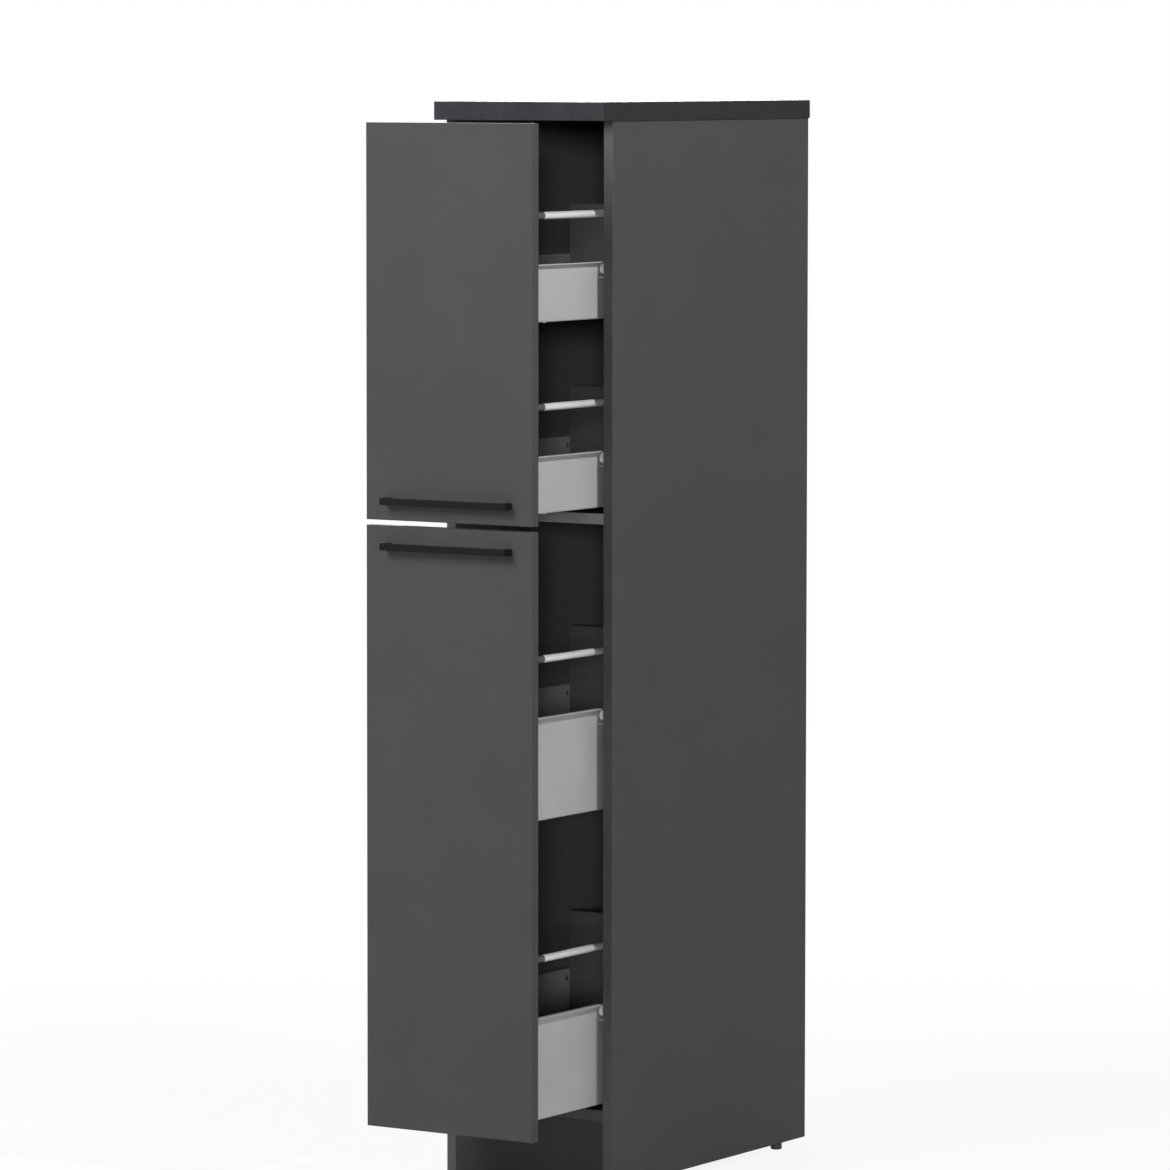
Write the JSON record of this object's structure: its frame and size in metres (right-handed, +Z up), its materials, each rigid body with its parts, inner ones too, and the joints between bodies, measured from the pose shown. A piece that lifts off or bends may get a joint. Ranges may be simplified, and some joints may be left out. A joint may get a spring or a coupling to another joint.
{
  "type": "pull-out column cabinet",
  "caption": "Narrow tall kitchen cabinet whose upper and lower fronts pull out steel-sided trays with a round rail on roller runners, under a thick slate-look worktop.",
  "frame": {"origin": "on the floor, under the middle of the part's outer box with both pull-outs open 199 mm; the carcass front edge is at Y = -166.5 mm", "axes": "+Z up, -Y towards the user, X across the cabinet, +X at the user's right"},
  "size_m": [0.305, 0.807, 1.65],
  "materials": {
    "graphite_board": "matt melamine-faced board",
    "mid_grey_board": "matt melamine-faced board",
    "pale_edged_board": "matt melamine-faced board with a pale edge",
    "back_board": "matt painted hardboard",
    "slate_laminate": "slate-look laminate on board",
    "black_plastic": "moulded",
    "zinc_steel": "bright zinc plated",
    "beech": "fluted beech",
    "black_metal": "matt powder coat",
    "grey_plastic": "moulded",
    "silver_grey_steel": "epoxy coat",
    "rail_steel": "white-silver coat",
    "white_nylon": "moulded nylon"
  },
  "bodies": {
    "cabinet": {"side_panel_left": "graphite_board", "side_panel_right": "graphite_board", "bottom_panel": "graphite_board", "mid_shelf": "pale_edged_board", "rear_traverse": "graphite_board", "back_panel": "back_board", "plinth_panel": "graphite_board", "worktop": "slate_laminate", "glide_feet": "black_plastic", "glide_nails": "zinc_steel", "carcass_dowels": "beech", "cam_fittings": "zinc_steel", "carcass_screws": "zinc_steel", "wall_bracket": "zinc_steel", "runner_roller_pins": "zinc_steel", "tray_1_runners": "silver_grey_steel", "tray_2_runners": "silver_grey_steel", "tray_3_runners": "silver_grey_steel", "tray_4_runners": "silver_grey_steel"},
    "upper_pullout": {"upper_front": "graphite_board", "upper_handle": "black_metal", "upper_front_brackets": "zinc_steel", "upper_rail_fittings": "grey_plastic", "upper_roller_pins": "zinc_steel", "upper_pullout_screws": "zinc_steel", "tray_1_side_left": "silver_grey_steel", "tray_1_side_right": "silver_grey_steel", "tray_1_base": "mid_grey_board", "tray_1_back": "mid_grey_board", "tray_1_rail": "rail_steel", "tray_2_side_left": "silver_grey_steel", "tray_2_side_right": "silver_grey_steel", "tray_2_base": "mid_grey_board", "tray_2_back": "mid_grey_board", "tray_2_rail": "rail_steel"},
    "lower_pullout": {"lower_front": "graphite_board", "lower_handle": "black_metal", "lower_front_brackets": "zinc_steel", "lower_rail_fittings": "grey_plastic", "lower_roller_pins": "zinc_steel", "lower_pullout_screws": "zinc_steel", "tray_3_side_left": "silver_grey_steel", "tray_3_side_right": "silver_grey_steel", "tray_3_base": "mid_grey_board", "tray_3_back": "mid_grey_board", "tray_3_rail": "rail_steel", "tray_4_side_left": "silver_grey_steel", "tray_4_side_right": "silver_grey_steel", "tray_4_base": "mid_grey_board", "tray_4_back": "mid_grey_board", "tray_4_rail": "rail_steel"},
    "tray_1_front_rollers": {"tray_1_front_rollers": "white_nylon"},
    "tray_1_rear_rollers": {"tray_1_rear_rollers": "white_nylon"},
    "tray_2_front_rollers": {"tray_2_front_rollers": "white_nylon"},
    "tray_2_rear_rollers": {"tray_2_rear_rollers": "white_nylon"},
    "tray_3_front_rollers": {"tray_3_front_rollers": "white_nylon"},
    "tray_3_rear_rollers": {"tray_3_rear_rollers": "white_nylon"},
    "tray_4_front_rollers": {"tray_4_front_rollers": "white_nylon"},
    "tray_4_rear_rollers": {"tray_4_rear_rollers": "white_nylon"}
  },
  "joints": [
    {"name": "upper_slide", "type": "slide", "parent": "cabinet", "child": "upper_pullout", "axis": [0, -1, 0], "range_m": [-0.199, 0.176]},
    {"name": "lower_slide", "type": "slide", "parent": "cabinet", "child": "lower_pullout", "axis": [0, -1, 0], "range_m": [-0.199, 0.176]},
    {"name": "tray_1_front_roller_spin", "type": "hinge", "parent": "cabinet", "child": "tray_1_front_rollers", "pos_m": [0, -0.1525, 1.4007], "axis": [1, 0, 0], "continuous": true},
    {"name": "tray_1_rear_roller_spin", "type": "hinge", "parent": "upper_pullout", "child": "tray_1_rear_rollers", "pos_m": [0, 0.1245, 1.397], "axis": [1, 0, 0], "continuous": true},
    {"name": "tray_2_front_roller_spin", "type": "hinge", "parent": "cabinet", "child": "tray_2_front_rollers", "pos_m": [0, -0.1525, 1.1167], "axis": [1, 0, 0], "continuous": true},
    {"name": "tray_2_rear_roller_spin", "type": "hinge", "parent": "upper_pullout", "child": "tray_2_rear_rollers", "pos_m": [0, 0.1245, 1.113], "axis": [1, 0, 0], "continuous": true},
    {"name": "tray_3_front_roller_spin", "type": "hinge", "parent": "cabinet", "child": "tray_3_front_rollers", "pos_m": [0, -0.1525, 0.7282], "axis": [1, 0, 0], "continuous": true},
    {"name": "tray_3_rear_roller_spin", "type": "hinge", "parent": "lower_pullout", "child": "tray_3_rear_rollers", "pos_m": [0, 0.1245, 0.7245], "axis": [1, 0, 0], "continuous": true},
    {"name": "tray_4_front_roller_spin", "type": "hinge", "parent": "cabinet", "child": "tray_4_front_rollers", "pos_m": [0, -0.1525, 0.2792], "axis": [1, 0, 0], "continuous": true},
    {"name": "tray_4_rear_roller_spin", "type": "hinge", "parent": "lower_pullout", "child": "tray_4_rear_rollers", "pos_m": [0, 0.1245, 0.2755], "axis": [1, 0, 0], "continuous": true}
  ],
  "couplings": [
    {"joint": "tray_1_front_roller_spin", "follows": "upper_slide", "rad_per_m": 111.11},
    {"joint": "tray_1_rear_roller_spin", "follows": "upper_slide", "rad_per_m": 125},
    {"joint": "tray_2_front_roller_spin", "follows": "upper_slide", "rad_per_m": 111.11},
    {"joint": "tray_2_rear_roller_spin", "follows": "upper_slide", "rad_per_m": 125},
    {"joint": "tray_3_front_roller_spin", "follows": "lower_slide", "rad_per_m": 111.11},
    {"joint": "tray_3_rear_roller_spin", "follows": "lower_slide", "rad_per_m": 125},
    {"joint": "tray_4_front_roller_spin", "follows": "lower_slide", "rad_per_m": 111.11},
    {"joint": "tray_4_rear_roller_spin", "follows": "lower_slide", "rad_per_m": 125}
  ]
}
